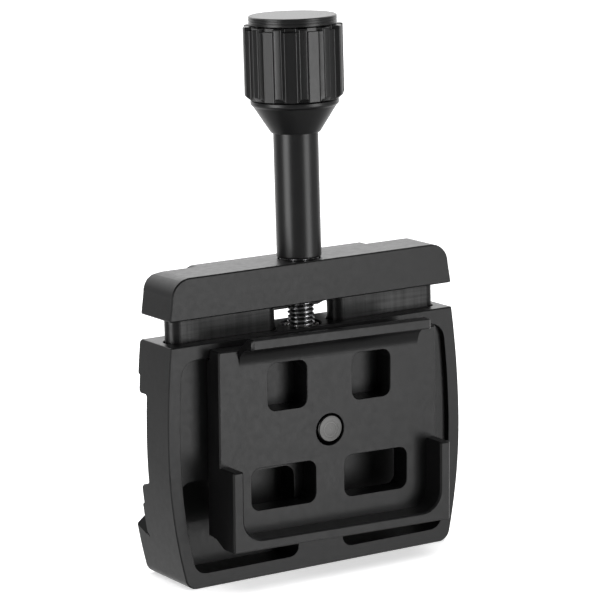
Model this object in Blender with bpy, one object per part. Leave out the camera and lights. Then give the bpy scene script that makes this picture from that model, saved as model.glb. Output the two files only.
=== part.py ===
# Dovetail quick release clamp on an adapter foot.
# Metres, +Z up. The clamping screw stands upright, the foot looks toward -Y and
# the dovetail channel toward +Y. The origin is the middle of the footprint, on
# the flat bottom of the fixed jaw, on which the clamp stands.
import math

import bpy
import bmesh
from mathutils import Matrix, Vector

MM = 0.001

# ------------------------------------------------------------------ dimensions
# All in millimetres. Depths ("d") are measured from the front rim plane of the
# body, positive toward the dovetail channel.
FRONT_Y = -3.4            # the body's front rim plane in the model's frame
GAP = 0.3                 # clearance between pieces that touch

# body
BODY_H = 45.0             # height of the body block
BODY_HALF_MAX = 31.4      # widest half width of the barrel outline
BODY_Z_MAX = 24.5         # height of the widest place
BODY_R_UP = 168.0         # outline radius above the widest place
BODY_R_DOWN = 96.0        # outline radius below it
BODY_CORNER_R = 2.4       # bottom corners
RIM = 2.5                 # width of the rim round the front pockets
RIM_TOP = 2.75            # its top and bottom bands
RIM_BOTTOM = 2.7
POCKET_D = 1.1            # shallow pocket that the foot lies in
POCKET_Z0 = 6.0           # its lower end on the middle web
DEEP_D = 5.8              # two deep lightening pockets
DEEP_Z1 = 19.8
WEB_HALF = 4.8            # half width of the web between them
SEAT_D = 11.4             # the seats that a camera plate lies on
RELIEF_D = 10.8           # a little lower than the seats
CHANNEL_D = 8.05          # bottom of the channel
LIP_D = 15.2              # how far the dovetail lips reach
FLANK = 4.1               # height of the 45 degree flank
FIXED_ROOT_Z = 7.9        # root of the fixed flank
FIXED_ROOT_D = 10.9
SCREW_D = 4.95            # plane of the clamping screw and the tongues

# moving jaw
OPEN_GAP = 4.6            # gap to the body as photographed
JAW_H = 7.65
JAW_HALF = 30.15
JAW_D = 10.9
JAW_TOP_HALF = 25.7
JAW_LIP_HALF = 19.2       # the movable lip: half length, and where its slanting
JAW_LIP_LOW = 9.8         # ends start at its lower edge
JAW_LIP_Z = 4.05          # how far the lip hangs below the jaw
TONGUE_IN = 6.0           # tongues: inner and outer end, radius, length
TONGUE_OUT = 28.35
TONGUE_R = 2.15
TONGUE_L = 9.0
POCKET_BOTTOM_Z = 35.4    # bottom of the pockets the tongues slide in

# foot
FOOT_HALF = 23.3
FOOT_FRONT_D = -8.4
PLATE_FACE_D = -3.6
PLATE_Z0, PLATE_Z1 = 8.8, 43.3
FOOT_Z0, FOOT_Z1 = 7.3, 45.8
BAR_HALF = 19.15
BAR_UNDER_Z = 43.85
BAR_FILLET = 3.7
U_INNER_HALF = 21.15
U_INNER_Z = 9.25
U_TOP_Z = 22.2
U_CORNER_R = 4.0
FOOT_SCREW_Z = 26.45
FOOT_SHIFT = 0.4          # the foot's screw has play in the body: it stands a little
FOOT_TURN = 1.32          # to the right and turned by this many degrees

# clamping screw and knob
SCREW_R = 2.5             # M5
SCREW_TIP_Z = 38.0
KNOB_TOP_Z = 101.7
STEM_R = 4.12
GRIP_R = 9.1
FLUTES = 12
FLUTE_PHASE = 10.7        # degrees, as the knob stands in the photograph
VIEW_AZ = -31.27


def depth(d):
    """Model y in mm of a depth measured from the front rim plane."""
    return FRONT_Y + d


# ------------------------------------------------------------------ the scene
for ob in list(bpy.data.objects):
    bpy.data.objects.remove(ob, do_unlink=True)

scene_collection = bpy.context.scene.collection


def material(name, colour, rough, metal):
    mat = bpy.data.materials.new(name)
    mat.use_nodes = True
    bsdf = mat.node_tree.nodes["Principled BSDF"]
    bsdf.inputs["Base Color"].default_value = (*colour, 1.0)
    bsdf.inputs["Roughness"].default_value = rough
    bsdf.inputs["Metallic"].default_value = metal
    return mat


# ------------------------------------------------------------------ mesh tools
def link(name, bm, smooth=None):
    """Make an object from a bmesh given in millimetres."""
    bmesh.ops.scale(bm, vec=(MM, MM, MM), verts=bm.verts)
    bmesh.ops.recalc_face_normals(bm, faces=bm.faces)
    mesh = bpy.data.meshes.new(name)
    bm.to_mesh(mesh)
    bm.free()
    if smooth is not None:
        mesh.shade_smooth()
        mesh.set_sharp_from_angle(angle=math.radians(smooth))
    ob = bpy.data.objects.new(name, mesh)
    scene_collection.objects.link(ob)
    return ob


def prism(name, outline, axis, lo, hi, smooth=None):
    """Extrude a closed outline of (u, v) points along an axis.
    axis X: (u, v) = (y, z); axis Y: (u, v) = (x, z); axis Z: (u, v) = (x, y)."""
    bm = bmesh.new()
    place = {"X": lambda u, v, w: (w, u, v),
             "Y": lambda u, v, w: (u, w, v),
             "Z": lambda u, v, w: (u, v, w)}[axis]
    verts = [bm.verts.new(place(u, v, lo)) for u, v in outline]
    face = bm.faces.new(verts)
    out = bmesh.ops.extrude_face_region(bm, geom=[face])
    moved = [g for g in out["geom"] if isinstance(g, bmesh.types.BMVert)]
    shift = {"X": (hi - lo, 0, 0), "Y": (0, hi - lo, 0), "Z": (0, 0, hi - lo)}[axis]
    bmesh.ops.translate(bm, vec=shift, verts=moved)
    return link(name, bm, smooth)


def turned(name, profile, axis_x, axis_y, steps, smooth=30):
    """Revolve a closed (r, z) profile about a vertical axis. Points with r = 0
    are shared, so the ends close."""
    bm = bmesh.new()
    rings = []
    for r, z in profile:
        if r < 1e-6:
            rings.append([bm.verts.new((axis_x, axis_y, z))])
        else:
            rings.append([bm.verts.new((axis_x + r * math.cos(2 * math.pi * k / steps),
                                        axis_y + r * math.sin(2 * math.pi * k / steps), z))
                          for k in range(steps)])
    n = len(profile)
    for i in range(n):
        a, b = rings[i], rings[(i + 1) % n]
        if len(a) == 1 and len(b) == 1:
            continue
        for k in range(steps):
            k2 = (k + 1) % steps
            if len(a) == 1:
                bm.faces.new((a[0], b[k2], b[k]))
            elif len(b) == 1:
                bm.faces.new((a[k], a[k2], b[0]))
            else:
                bm.faces.new((a[k], a[k2], b[k2], b[k]))
    return link(name, bm, smooth)


def arc(cx, cy, r, a0, a1, n):
    """n + 1 points on an arc, angles in degrees."""
    return [(cx + r * math.cos(math.radians(a0 + (a1 - a0) * i / n)),
             cy + r * math.sin(math.radians(a0 + (a1 - a0) * i / n))) for i in range(n + 1)]


def rounded_rect(x0, x1, z0, z1, r, n=4):
    pts = []
    pts += arc(x1 - r, z0 + r, r, -90, 0, n)
    pts += arc(x1 - r, z1 - r, r, 0, 90, n)
    pts += arc(x0 + r, z1 - r, r, 90, 180, n)
    pts += arc(x0 + r, z0 + r, r, 180, 270, n)
    return pts


def slot_outline(x0, x1, y0, r, n=8):
    """A slot with full round ends along X, centred on y0."""
    return arc(x1 - r, y0, r, -90, 90, n) + arc(x0 + r, y0, r, 90, 270, n)


def mirrored(points):
    return [(-x, z) for x, z in reversed(points)]


def rounded_polygon(points, radii, n=4):
    """Round the corners of a polygon. radii: one radius per point."""
    out = []
    m = len(points)
    for i, (p, r) in enumerate(zip(points, radii)):
        p = Vector(p)
        a = (Vector(points[i - 1]) - p)
        b = (Vector(points[(i + 1) % m]) - p)
        if r <= 0:
            out.append(tuple(p))
            continue
        a.normalize()
        b.normalize()
        half = a.angle(b) / 2
        t = r / math.tan(half)
        centre = p + (a + b).normalized() * (r / math.sin(half))
        p0, p1 = p + a * t, p + b * t
        a0 = math.atan2(p0.y - centre.y, p0.x - centre.x)
        a1 = math.atan2(p1.y - centre.y, p1.x - centre.x)
        d = (a1 - a0 + math.pi) % (2 * math.pi) - math.pi
        out += [(centre.x + r * math.cos(a0 + d * k / n),
                 centre.y + r * math.sin(a0 + d * k / n)) for k in range(n + 1)]
    return out


def cutter(ob):
    ob.hide_render = True
    ob.display_type = "WIRE"
    return ob


def boolean(target, tool, operation="DIFFERENCE"):
    cutter(tool)
    mod = target.modifiers.new(tool.name, "BOOLEAN")
    mod.object = tool
    mod.operation = operation
    mod.solver = "EXACT"


def finish(ob, mat):
    ob.data.materials.clear()
    ob.data.materials.append(mat)


# ------------------------------------------------------------------ materials
BLACK = (0.055, 0.055, 0.058)
anodised_body = material("black_anodised_body", BLACK, 0.42, 0.55)
anodised_jaw = material("black_anodised_jaw", BLACK, 0.42, 0.55)
anodised_foot = material("black_anodised_foot", BLACK, 0.42, 0.55)
anodised_stem = material("black_anodised_stem", BLACK, 0.32, 0.6)
grip_finish = material("fluted_grip_black", (0.05, 0.05, 0.052), 0.34, 0.5)
bright_screw = material("bright_clamp_screw", (0.78, 0.78, 0.79), 0.16, 1.0)
bright_foot_screw = material("bright_foot_screw", (0.72, 0.71, 0.70), 0.22, 1.0)
bright_washer = material("steel_washer", (0.35, 0.35, 0.36), 0.3, 1.0)
spring_steel_a = material("spring_wire_left", (0.6, 0.6, 0.6), 0.28, 1.0)
spring_steel_b = material("spring_wire_right", (0.6, 0.6, 0.6), 0.28, 1.0)
clip_steel = material("clip_steel", (0.25, 0.25, 0.26), 0.35, 1.0)
insert_steel = material("insert_steel", (0.55, 0.55, 0.55), 0.3, 1.0)


# ------------------------------------------------------------------ clamp body
def body_half(z):
    """Half width of the barrel outline at height z."""
    radius = BODY_R_UP if z > BODY_Z_MAX else BODY_R_DOWN
    return BODY_HALF_MAX - (z - BODY_Z_MAX) ** 2 / (2 * radius)


def barrel_side(z0, z1, inset, n):
    return [(body_half(z0 + (z1 - z0) * i / n) - inset, z0 + (z1 - z0) * i / n)
            for i in range(n + 1)]


def body_outline():
    side = barrel_side(BODY_CORNER_R, BODY_H - 0.5, 0.0, 14)
    x_low = side[0][0]
    corner = arc(x_low - BODY_CORNER_R, BODY_CORNER_R, BODY_CORNER_R, -90, 0, 5)[:-1]
    right = corner + side + [(side[-1][0] - 0.5, BODY_H)]
    return right + mirrored(right)


body_profile = [
    (depth(0.0), 0.4), (depth(0.4), 0.0), (depth(LIP_D - 0.6), 0.0), (depth(LIP_D), 0.6),
    (depth(LIP_D), FIXED_ROOT_Z + FLANK - 0.1),
    (depth(FIXED_ROOT_D + FLANK), FIXED_ROOT_Z + FLANK),
    (depth(FIXED_ROOT_D), FIXED_ROOT_Z),
    (depth(FIXED_ROOT_D), FIXED_ROOT_Z + 0.5),
    (depth(SEAT_D), FIXED_ROOT_Z + 1.0),
    (depth(SEAT_D), 14.3), (depth(RELIEF_D), 14.6), (depth(RELIEF_D), 17.7),
    (depth(RELIEF_D - 0.7), 18.3), (depth(CHANNEL_D), 18.9),
    (depth(CHANNEL_D), 35.3), (depth(RELIEF_D - 0.5), 35.3), (depth(RELIEF_D), 35.8),
    (depth(RELIEF_D), 38.5), (depth(SEAT_D), 38.8),
    (depth(SEAT_D), BODY_H - 0.6), (depth(SEAT_D - 0.6), BODY_H), (depth(0.3), BODY_H),
    (depth(0.0), BODY_H - 0.3),
]

body = prism("clamp_body", body_profile, "X", -33, 33, 35)
boolean(body, prism("cut_body_outline", body_outline(), "Y", depth(-3), depth(20)), "INTERSECT")

# shallow pocket in the front, for the foot
in_top = BODY_H - RIM_TOP
shallow = barrel_side(POCKET_Z0, in_top, RIM, 10)
shallow_pts = shallow + mirrored(shallow)
radii = [0.6] + [0] * (len(shallow) - 2) + [3.2, 3.2] + [0] * (len(shallow) - 2) + [0.6]
boolean(body, prism("cut_shallow_pocket", rounded_polygon(shallow_pts, radii, 6), "Y",
                    depth(-3), depth(POCKET_D)))

# two deep pockets below it
deep_side = barrel_side(RIM_BOTTOM, DEEP_Z1, RIM, 5)
deep_pts = deep_side + [(WEB_HALF, DEEP_Z1), (WEB_HALF, RIM_BOTTOM)]
deep_radii = [2.6] + [0] * (len(deep_side) - 2) + [2.0, 2.0, 2.0]
deep_right = rounded_polygon(deep_pts, deep_radii, 5)
boolean(body, prism("cut_deep_pocket_right", deep_right, "Y", depth(-3), depth(DEEP_D)))
boolean(body, prism("cut_deep_pocket_left", mirrored(deep_right), "Y", depth(-3), depth(DEEP_D)))

# the pockets that the tongues slide in, with the spring bores below them
for side, sign in (("right", 1), ("left", -1)):
    x0, x1 = sorted((sign * (TONGUE_IN - GAP), sign * (TONGUE_OUT + GAP)))
    boolean(body, prism("cut_tongue_pocket_" + side,
                        slot_outline(x0, x1, depth(SCREW_D), TONGUE_R + GAP), "Z",
                        POCKET_BOTTOM_Z, BODY_H + 3))
    boolean(body, turned("cut_spring_bore_" + side,
                         [(0, 36.4), (1.75, 36.4), (1.75, 27.0), (0, 27.0)],
                         sign * 17.0, depth(SCREW_D), 20))

# bore of the thread insert, and room for the screw tip below it
boolean(body, turned("cut_insert_bore",
                     [(0, 48), (3.6, 48), (3.6, 36.0), (2.8, 36.0), (2.8, 33.4), (0, 33.4)],
                     0.0, depth(SCREW_D), 32))


def along_y(name, profile, x, z, steps, smooth=30):
    """Revolve an (r, d) profile about an axis along Y through (x, z)."""
    bm = bmesh.new()
    rings = []
    for r, d in profile:
        if r < 1e-6:
            rings.append([bm.verts.new((x, depth(d), z))])
        else:
            rings.append([bm.verts.new((x + r * math.cos(2 * math.pi * k / steps), depth(d),
                                        z + r * math.sin(2 * math.pi * k / steps)))
                          for k in range(steps)])
    n = len(profile)
    for i in range(n):
        a, b = rings[i], rings[(i + 1) % n]
        if len(a) == 1 and len(b) == 1:
            continue
        for k in range(steps):
            k2 = (k + 1) % steps
            if len(a) == 1:
                bm.faces.new((a[0], b[k2], b[k]))
            elif len(b) == 1:
                bm.faces.new((a[k], a[k2], b[0]))
            else:
                bm.faces.new((a[k], a[k2], b[k2], b[k]))
    return link(name, bm, smooth)


# hole and counterbore of the screw that holds the foot
boolean(body, along_y("cut_foot_screw_hole",
                      [(0, 12), (5.9, 12), (5.9, 4.5), (3.5, 4.5), (3.5, -3), (0, -3)],
                      0.0, FOOT_SCREW_Z, 32))


def lip_end_chamfer(name, sign):
    """Lead-in at an end of the fixed lip: a slanted cut from the root of the
    flank at the end face to the lip's edge a little further in."""
    def slope(x, d):
        return FIXED_ROOT_Z + 0.44 * (d - FIXED_ROOT_D) + 0.77 * (30.1 - x)

    corners = ((31.2, FIXED_ROOT_D - 0.8), (31.2, LIP_D + 2.3), (25.1, LIP_D + 2.3))
    a, b, c = (Vector((x, depth(d), slope(x, d))) for x, d in corners)
    up = Vector((3.0, 0.0, 4.0))
    bm = bmesh.new()
    low = [bm.verts.new(v) for v in (a, b, c)]
    high = [bm.verts.new(v + up) for v in (a, b, c)]
    bm.faces.new(low)
    bm.faces.new(list(reversed(high)))
    for i in range(3):
        j = (i + 1) % 3
        bm.faces.new((low[i], high[i], high[j], low[j]))
    if sign < 0:
        bmesh.ops.scale(bm, vec=(-1, 1, 1), verts=bm.verts)
    return link(name, bm)


boolean(body, lip_end_chamfer("cut_lip_end_right", 1))
boolean(body, lip_end_chamfer("cut_lip_end_left", -1))
finish(body, anodised_body)

# ------------------------------------------------------------------ moving jaw
jaw_z0 = BODY_H + OPEN_GAP
jaw_z1 = jaw_z0 + JAW_H


def jaw_outline():
    """Front view of the jaw with the part of its lip that hangs below it."""
    right = [(JAW_LIP_LOW, jaw_z0 - 6.0), (JAW_LIP_LOW, jaw_z0 - JAW_LIP_Z),
             (JAW_LIP_LOW + 1.3 * JAW_LIP_Z, jaw_z0), (JAW_HALF - 0.2, jaw_z0),
             (JAW_HALF, jaw_z0 + 0.2)]
    right += [(JAW_HALF - 0.15 * t, jaw_z0 + t) for t in (1.5, 2.8, 3.9)]
    top_x, side_x, side_z = JAW_TOP_HALF, JAW_HALF - 0.15 * 3.9, jaw_z0 + 3.9
    for i in range(1, 9):
        a = math.radians(90.0 * i / 8)
        right.append((top_x + (side_x - top_x) * math.cos(a),
                      side_z + (jaw_z1 - side_z) * math.sin(a)))
    return right + mirrored(right)


end_profile = [
    (depth(0.0), jaw_z0 + 0.25), (depth(0.25), jaw_z0), (depth(JAW_D - 0.2), jaw_z0),
    (depth(JAW_D), jaw_z0 + 0.2), (depth(JAW_D), jaw_z1 - 2.0),
    (depth(JAW_D - 0.6), jaw_z1 - 0.6), (depth(JAW_D - 1.9), jaw_z1),
    (depth(0.25), jaw_z1), (depth(0.0), jaw_z1 - 0.25),
]
jaw = prism("moving_jaw", end_profile, "X", -33, 33, 35)

# the dovetail lip, on the middle of the jaw
lip_profile = [
    (depth(LIP_D - JAW_LIP_Z), jaw_z0), (depth(LIP_D - 0.1), jaw_z0 - JAW_LIP_Z + 0.1),
    (depth(LIP_D), jaw_z0 - JAW_LIP_Z + 0.15),
    (depth(LIP_D), jaw_z1 - 3.2), (depth(LIP_D - 0.5), jaw_z1 - 2.4),
    (depth(12.75), jaw_z1 - 0.35), (depth(7.0), jaw_z1 - 0.35), (depth(7.0), jaw_z0),
]
boolean(jaw, prism("join_jaw_lip", lip_profile, "X", -JAW_LIP_HALF, JAW_LIP_HALF), "UNION")
boolean(jaw, prism("cut_jaw_outline", jaw_outline(), "Y", depth(-3), depth(20)), "INTERSECT")

# tongues: they guide the jaw in the body
for side, sign in (("right", 1), ("left", -1)):
    x0, x1 = sorted((sign * TONGUE_IN, sign * TONGUE_OUT))
    boolean(jaw, prism("join_tongue_" + side,
                       slot_outline(x0, x1, depth(SCREW_D), TONGUE_R), "Z",
                       jaw_z0 - TONGUE_L, jaw_z0 + 2.0), "UNION")
for side, sign in (("right", 1), ("left", -1)):
    boolean(jaw, turned("cut_tongue_bore_" + side,
                        [(0, jaw_z0 - 4.0), (1.75, jaw_z0 - 4.0), (1.75, jaw_z0 - TONGUE_L - 2),
                         (0, jaw_z0 - TONGUE_L - 2)], sign * 17.0, depth(SCREW_D), 20))

# hole for the screw, with counterbores for the washer above and the clip below
boolean(jaw, turned("cut_jaw_screw_hole",
                    [(0, jaw_z1 + 2), (3.95, jaw_z1 + 2), (3.95, jaw_z1 - 0.85),
                     (2.85, jaw_z1 - 0.85), (2.85, jaw_z0 + 1.3),
                     (3.95, jaw_z0 + 1.3), (3.95, jaw_z0 - 2), (0, jaw_z0 - 2)],
                    0.0, depth(SCREW_D), 32))
finish(jaw, anodised_jaw)

# ------------------------------------------------------------------ adapter foot
foot_back = POCKET_D - GAP
foot_step = in_top - 0.9      # top of the part of the plate that lies in the pocket
foot_profile = [
    (depth(foot_back), PLATE_Z0), (depth(foot_back), foot_step),
    (depth(-GAP), foot_step), (depth(-GAP), PLATE_Z1),
    (depth(PLATE_FACE_D + 0.1), PLATE_Z1), (depth(-6.2), FOOT_Z1 - 0.2),
    (depth(-6.6), FOOT_Z1), (depth(FOOT_FRONT_D + 0.2), FOOT_Z1),
    (depth(FOOT_FRONT_D), FOOT_Z1 - 0.2), (depth(FOOT_FRONT_D), FOOT_Z0 + 0.2),
    (depth(FOOT_FRONT_D + 0.2), FOOT_Z0), (depth(-5.0), FOOT_Z0), (depth(-1.9), PLATE_Z0),
]
foot = prism("adapter_foot", foot_profile, "X", -FOOT_HALF, FOOT_HALF, 35)

# everything in front of the plate's face that isn't the bar or the U-shaped wall
hollow = [(U_INNER_HALF, U_TOP_Z), (U_INNER_HALF, U_INNER_Z),
          (-U_INNER_HALF, U_INNER_Z), (-U_INNER_HALF, U_TOP_Z)]
hollow = rounded_polygon(hollow, [0, U_CORNER_R, U_CORNER_R, 0], 6)
hollow = [(FOOT_HALF + 2, 38.0), (FOOT_HALF + 2, U_TOP_Z)] + hollow + \
         [(-FOOT_HALF - 2, U_TOP_Z), (-FOOT_HALF - 2, 38.0)]
boolean(foot, prism("cut_foot_hollow", hollow, "Y", depth(-12), depth(PLATE_FACE_D)))

# below the bar, with the large fillet that joins it to the plate
face_z = BAR_UNDER_Z - BAR_FILLET
under = [(depth(-12), 36.0), (depth(PLATE_FACE_D), 36.0), (depth(PLATE_FACE_D), face_z)]
under += arc(depth(PLATE_FACE_D - BAR_FILLET), face_z, BAR_FILLET, 0, 90, 8)[1:]
under += [(depth(-12), BAR_UNDER_Z)]
boolean(foot, prism("cut_under_bar", under, "X", -FOOT_HALF - 2, FOOT_HALF + 2))

# beside the bar's ends
for side, sign in (("right", 1), ("left", -1)):
    end = [(BAR_HALF, 38.0), (FOOT_HALF + 2, 38.0), (FOOT_HALF + 2, 49.0), (BAR_HALF, 49.0)]
    if sign < 0:
        end = mirrored(end)
    boolean(foot, prism("cut_beside_bar_" + side, end, "Y", depth(-12), depth(PLATE_FACE_D)))

# windows through the plate
for i, (x0, x1, z0, z1) in enumerate(((4.85, 13.15, 31.3, 40.05), (3.1, 16.75, 13.3, 21.1))):
    for side, sign in (("right", 1), ("left", -1)):
        a, b = sorted((sign * x0, sign * x1))
        boolean(foot, prism("cut_window_%s_%s" % (("upper", "lower")[i], side),
                            rounded_rect(a, b, z0, z1, 1.6), "Y", depth(-6), depth(4)))

# threaded hole of the foot screw
boolean(foot, along_y("cut_foot_thread", [(0, 4), (3.0, 4), (3.0, -6), (0, -6)],
                      0.0, FOOT_SCREW_Z, 32))
finish(foot, anodised_foot)

# the foot as it sits on the body, turned about its screw
about = Matrix.Translation((0.0, 0.0, FOOT_SCREW_Z * MM))
seat = Matrix.Translation((FOOT_SHIFT * MM, 0.0, 0.0)) @ about @ \
    Matrix.Rotation(math.radians(FOOT_TURN), 4, "Y") @ about.inverted()
for piece in [foot] + [m.object for m in foot.modifiers if m.type == "BOOLEAN"]:
    piece.data.transform(seat)

# ------------------------------------------------------------------ foot screw
foot_screw = along_y("foot_screw", [
    (0, 7.75), (4.7, 7.75), (5.0, 7.45), (5.0, 4.8), (2.7, 4.8), (2.7, -2.95), (2.4, -3.4),
    (0, -3.4)], FOOT_SHIFT, FOOT_SCREW_Z, 32)
hexagon = [(FOOT_SHIFT + 2.5 / math.cos(math.radians(30)) * math.cos(math.radians(60 * k)),
            FOOT_SCREW_Z + 2.5 / math.cos(math.radians(30)) * math.sin(math.radians(60 * k)))
           for k in range(6)]
boolean(foot_screw, prism("cut_hex_socket", hexagon, "Y", depth(5.7), depth(9)))
finish(foot_screw, bright_foot_screw)

# ------------------------------------------------------------------ thread insert
insert = turned("thread_insert", [(2.8, 36.3), (3.3, 36.3), (3.3, 44.7), (3.1, 44.9),
                                  (2.9, 44.9), (2.8, 44.8)], 0.0, depth(SCREW_D), 32)
finish(insert, insert_steel)

# ------------------------------------------------------------------ clamping screw
clip_z = jaw_z0 + 0.5
screw = turned("clamp_screw", [
    (0, 71.8), (2.3, 71.8), (SCREW_R, 71.5), (SCREW_R, clip_z + 0.75), (2.0, clip_z + 0.75),
    (2.0, clip_z - 0.25), (SCREW_R, clip_z - 0.25), (SCREW_R, SCREW_TIP_Z + 0.6),
    (1.9, SCREW_TIP_Z), (0, SCREW_TIP_Z)], 0.0, depth(SCREW_D), 32)
finish(screw, bright_screw)

# ------------------------------------------------------------------ retaining clip
clip_pts = arc(0, depth(SCREW_D), 3.6, -60, 240, 24) + \
    list(reversed(arc(0, depth(SCREW_D), 2.3, -60, 240, 24)))
clip = prism("retaining_clip", clip_pts, "Z", clip_z, clip_z + 0.5, 30)
finish(clip, clip_steel)

# ------------------------------------------------------------------ thrust washer
washer = turned("thrust_washer", [
    (2.8, jaw_z1 - 0.55), (3.6, jaw_z1 - 0.55), (3.6, jaw_z1 - 0.05),
    (2.8, jaw_z1 - 0.05)], 0.0, depth(SCREW_D), 40)
finish(washer, bright_washer)

# ------------------------------------------------------------------ knob stem
stem_z0 = jaw_z1 + 0.3
stem_profile = [
    (2.8, stem_z0), (STEM_R - 0.15, stem_z0), (STEM_R, stem_z0 + 0.15), (STEM_R, 80.45),
    (4.5, 80.45), (4.62, 80.6), (7.45, 85.0), (7.75, 85.3), (8.0, 85.55), (8.0, 86.15),
    (7.8, 86.35), (6.4, 86.35),
    (6.4, 100.2), (7.75, 100.2), (7.85, 100.3), (7.85, 101.3), (7.45, KNOB_TOP_Z),
    (0, KNOB_TOP_Z), (0, 73.6), (2.8, 72.1)]
stem = turned("knob_stem", list(reversed(stem_profile)), 0.0, depth(SCREW_D), 48)
finish(stem, anodised_stem)


# ------------------------------------------------------------------ fluted grip
def grip_section(scale):
    """Outline of the grip: narrow round ribs between wide shallow flutes."""
    pts = []
    steps = 14
    for k in range(FLUTES):
        centre = math.radians(FLUTE_PHASE + VIEW_AZ - 90.0 + k * 360.0 / FLUTES)
        for i in range(steps):
            t = i / steps                       # 0 at a rib's middle, 0.5 in a flute
            a = centre + t * 2 * math.pi / FLUTES
            u = min(t, 1 - t) * 2               # 0 on the rib, 1 in the flute
            if u < 0.26:
                r = GRIP_R - 0.05 * (u / 0.26) ** 2
            elif u < 0.52:
                w = (u - 0.26) / 0.26
                r = GRIP_R - 0.05 - 0.75 * (0.5 - 0.5 * math.cos(math.pi * w))
            else:
                r = GRIP_R - 0.8 - 0.1 * ((u - 0.52) / 0.48)
            pts.append((a, r * scale))
    return pts


def grip_mesh():
    z0, z1 = 86.65, 99.75
    inner = 6.7
    bm = bmesh.new()
    levels = [(z0, 0.94), (z0 + 0.6, 0.995), (z0 + 0.8, 1.0), (z1 - 0.4, 1.0), (z1, 0.96)]
    rings = []
    cy = depth(SCREW_D)
    for z, s in levels:
        rings.append([bm.verts.new((r * math.cos(a), cy + r * math.sin(a), z))
                      for a, r in grip_section(s)])
    count = len(rings[0])
    for z in (z1, z0):
        rings.append([bm.verts.new((inner * math.cos(a), cy + inner * math.sin(a), z))
                      for a, r in grip_section(1.0)])
    for i in range(len(rings)):
        a, b = rings[i], rings[(i + 1) % len(rings)]
        for k in range(count):
            k2 = (k + 1) % count
            bm.faces.new((a[k], a[k2], b[k2], b[k]))
    return link("knob_grip", bm, 40)


grip = grip_mesh()
finish(grip, grip_finish)


# ------------------------------------------------------------------ return springs
def spring(name, x, mat):
    """Compression spring between the pocket floor's bore and the tongue's bore."""
    z0, z1 = 27.3, jaw_z0 - 4.3
    wire, radius, turns, steps, sides = 0.22, 1.22, 9.5, 14, 6
    total = int(turns * steps)
    bm = bmesh.new()
    rings = []
    for i in range(total + 1):
        t = i / total
        # the first and last turns lie close, as on a ground spring
        turn = t * turns
        if turn < 1:
            h = turn * 0.5
        elif turn > turns - 1:
            h = (z1 - z0 - 2 * wire) - (turns - turn) * 0.5
        else:
            h = 0.5 + (turn - 1) / (turns - 2) * ((z1 - z0 - 2 * wire) - 1.0)
        a = 2 * math.pi * turn
        centre = Vector((x + radius * math.cos(a), depth(SCREW_D) + radius * math.sin(a),
                         z0 + wire + h))
        out = Vector((math.cos(a), math.sin(a), 0))
        up = Vector((0, 0, 1))
        rings.append([bm.verts.new(centre + out * (wire * math.cos(2 * math.pi * s / sides))
                                   + up * (wire * math.sin(2 * math.pi * s / sides)))
                      for s in range(sides)])
    for i in range(total):
        for s in range(sides):
            s2 = (s + 1) % sides
            bm.faces.new((rings[i][s], rings[i][s2], rings[i + 1][s2], rings[i + 1][s]))
    bm.faces.new(rings[0])
    bm.faces.new(list(reversed(rings[-1])))
    ob = link(name, bm, 40)
    finish(ob, mat)
    return ob


spring("return_spring_left", -17.0, spring_steel_a)
spring("return_spring_right", 17.0, spring_steel_b)

# ------------------------------------------------------------------ joint frames
# The jaw slides along Z; the knob turns about the screw's axis and rides on the jaw.
jaw_frame = bpy.data.objects.new("jaw_slide_frame", None)
jaw_frame.location = (0.0, depth(SCREW_D) * MM, jaw_z0 * MM)
knob_frame = bpy.data.objects.new("knob_turn_frame", None)
knob_frame.parent = jaw_frame
knob_frame.location = (0.0, 0.0, (jaw_z1 + 1.0 - jaw_z0) * MM)
for empty in (jaw_frame, knob_frame):
    scene_collection.objects.link(empty)
bpy.context.view_layer.update()


def carry(names, frame):
    for name in names:
        ob = bpy.data.objects[name]
        ob.parent = frame
        ob.matrix_parent_inverse = Matrix.Identity(4)
        where = frame.matrix_world.inverted()
        ob.data.transform(where)
        ob.matrix_basis = Matrix.Identity(4)


jaw_tools = [m.object.name for m in jaw.modifiers]
carry(["moving_jaw"] + jaw_tools, jaw_frame)
carry(["clamp_screw", "retaining_clip", "thrust_washer", "knob_stem", "knob_grip"], knob_frame)
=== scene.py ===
import math

import bmesh
import bpy
from mathutils import Matrix, Vector


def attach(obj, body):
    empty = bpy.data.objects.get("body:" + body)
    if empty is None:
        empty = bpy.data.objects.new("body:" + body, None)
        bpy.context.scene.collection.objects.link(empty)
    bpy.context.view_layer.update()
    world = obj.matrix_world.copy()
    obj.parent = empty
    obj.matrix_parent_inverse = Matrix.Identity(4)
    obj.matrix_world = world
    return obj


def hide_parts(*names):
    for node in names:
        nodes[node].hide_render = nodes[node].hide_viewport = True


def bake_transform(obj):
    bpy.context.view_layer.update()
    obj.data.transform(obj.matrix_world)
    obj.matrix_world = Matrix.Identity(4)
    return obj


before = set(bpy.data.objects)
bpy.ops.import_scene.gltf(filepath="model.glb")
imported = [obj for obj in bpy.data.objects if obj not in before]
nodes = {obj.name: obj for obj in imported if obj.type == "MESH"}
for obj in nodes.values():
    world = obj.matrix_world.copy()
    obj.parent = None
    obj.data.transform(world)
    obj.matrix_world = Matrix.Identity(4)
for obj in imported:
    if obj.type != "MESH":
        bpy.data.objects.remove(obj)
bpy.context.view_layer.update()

MM = 0.001
FRONT_Y = -3.4            # the body's front rim plane


def depth(d):
    return FRONT_Y + d


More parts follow.
